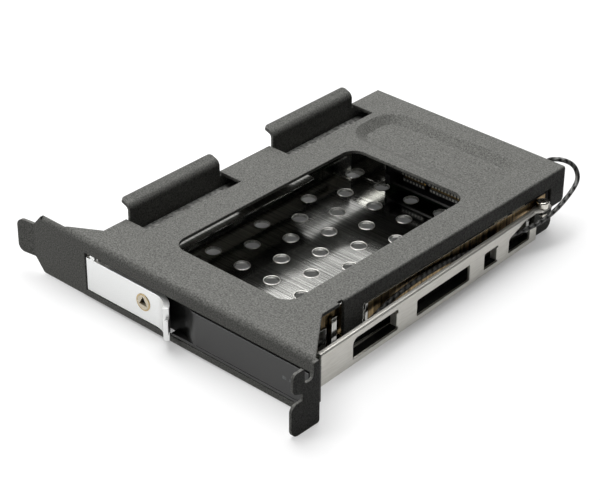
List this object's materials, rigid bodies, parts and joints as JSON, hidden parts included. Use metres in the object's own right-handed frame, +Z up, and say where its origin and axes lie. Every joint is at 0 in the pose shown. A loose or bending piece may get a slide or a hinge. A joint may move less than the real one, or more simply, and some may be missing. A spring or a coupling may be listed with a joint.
{
  "type": "expansion slot hard drive rack",
  "caption": "Drive rack on an expansion slot bracket: black folded frame over a bright cage, a hinged door with a locking lever, and a side rail.",
  "frame": {"origin": "middle of the bracket tongue's tip, in the plane of the bracket's outer face", "axes": "+X along the bracket from the tongue to the screw tab, +Y to the rear along the drive bay, +Z up"},
  "size_m": [0.12, 0.1478, 0.0259],
  "materials": {
    "black_powder_coat": "fine-grained matt black powder coat on steel",
    "bright_steel": "bright brushed stainless sheet",
    "zinc_steel": "zinc-plated steel with rolled edges",
    "screw_steel": "nickel-plated steel",
    "lever_coat": "silver-white coat, slightly satin",
    "door_plastic": "fine satin black plastic",
    "lock_bronze": "bronze ring",
    "lock_steel": "pale barrel face with a dark keyway",
    "socket_plastic": "black moulded plastic",
    "gilt_contact": "gold-plated contacts",
    "green_board": "green solder mask on glass-fibre board",
    "cream_plastic": "cream nylon",
    "lead_sleeve": "black sleeve with a twisted relief",
    "lamp_lens": "clear lens"
  },
  "bodies": {
    "frame": {"slot_frame": "black_powder_coat", "drive_cage": "bright_steel", "side_rail": "zinc_steel", "rail_screw": "screw_steel", "rail_nut": "screw_steel", "rail_rivets": "screw_steel", "wall_rivets": "screw_steel", "hinge_bracket": "zinc_steel", "hinge_pin": "screw_steel", "backplane_board": "green_board", "board_screws": "screw_steel", "drive_socket": "socket_plastic", "drive_contacts": "gilt_contact", "data_port": "socket_plastic", "power_port": "socket_plastic", "port_contacts": "gilt_contact", "rear_housing": "socket_plastic", "wall_clips": "cream_plastic", "slide_studs": "screw_steel", "lamp_board": "green_board", "status_lamps": "lamp_lens", "lamp_lead": "lead_sleeve", "lead_plug": "socket_plastic", "lead_header": "socket_plastic"},
    "door": {"door_panel": "door_plastic", "light_guides": "lamp_lens", "door_catch": "bright_steel"},
    "lever": {"release_lever": "lever_coat", "lock_ring": "lock_bronze"},
    "lock": {"lock_barrel": "lock_steel", "lock_cam": "zinc_steel", "cam_screw": "screw_steel"},
    "ejector": {"ejector_slide": "zinc_steel"}
  },
  "joints": [
    {"name": "door_swing", "type": "hinge", "parent": "frame", "child": "door", "pos_m": [0.0336, 0.00275, 0], "axis": [0, 0, -1], "range_deg": [0, 90]},
    {"name": "lever_swing", "type": "hinge", "parent": "door", "child": "lever", "pos_m": [0.0336, 0.00275, 0], "axis": [0, 0, -1], "range_deg": [0, 25]},
    {"name": "lock_turn", "type": "hinge", "parent": "lever", "child": "lock", "pos_m": [0.0533, 0, -0.0014], "axis": [0, -1, 0], "range_deg": [0, 90]},
    {"name": "ejector_travel", "type": "slide", "parent": "frame", "child": "ejector", "axis": [0, -1, 0], "range_m": [0, 0.01]}
  ],
  "couplings": [
    {"joint": "ejector_travel", "follows": "door_swing", "m_per_rad": 0.00636}
  ]
}
